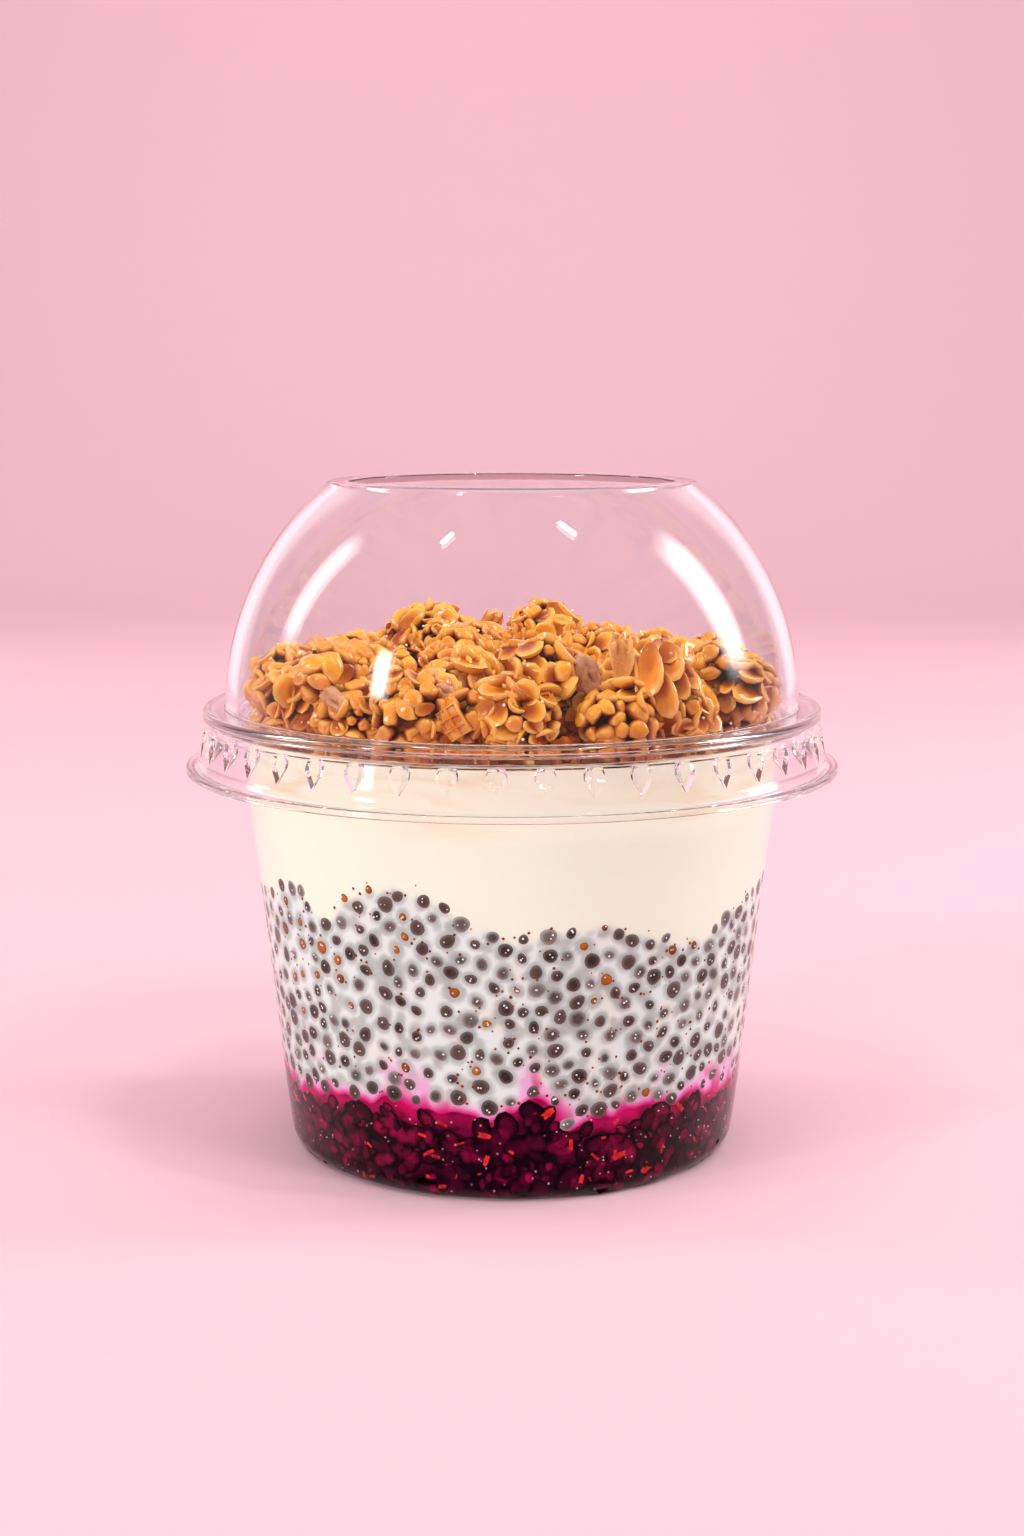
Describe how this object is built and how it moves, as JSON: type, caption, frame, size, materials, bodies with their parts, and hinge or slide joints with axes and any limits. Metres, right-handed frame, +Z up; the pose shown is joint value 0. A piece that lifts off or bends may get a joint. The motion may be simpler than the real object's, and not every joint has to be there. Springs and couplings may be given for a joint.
{
  "type": "chia pudding bowl",
  "caption": "Clear cup of layered chia pudding: berry compote, seeded pudding, cream and a granola heap under a clear dome lid with a round top opening.",
  "frame": {"origin": "centre of the base, on the surface that the cup stands on", "axes": "+Z up along the cup's axis, -Y towards the front view, +X to the right of it"},
  "size_m": [0.1046, 0.1046, 0.1072],
  "materials": {
    "clear_cup": "clear glossy PET plastic",
    "clear_lid": "clear glossy PET plastic",
    "compote": "wet dark purple berry compote, glossy, with translucent chunks",
    "pudding": "wet milky pudding with dark seeds, satin to glossy",
    "cream": "smooth ivory cream, satin",
    "granola": "golden syrup-glazed baked clusters, glossy in spots"
  },
  "bodies": {
    "root": {"cup": "clear_cup", "lid": "clear_lid", "berry_compote": "compote", "chia_pudding": "pudding", "cream": "cream", "granola": "granola"}
  },
  "joints": []
}
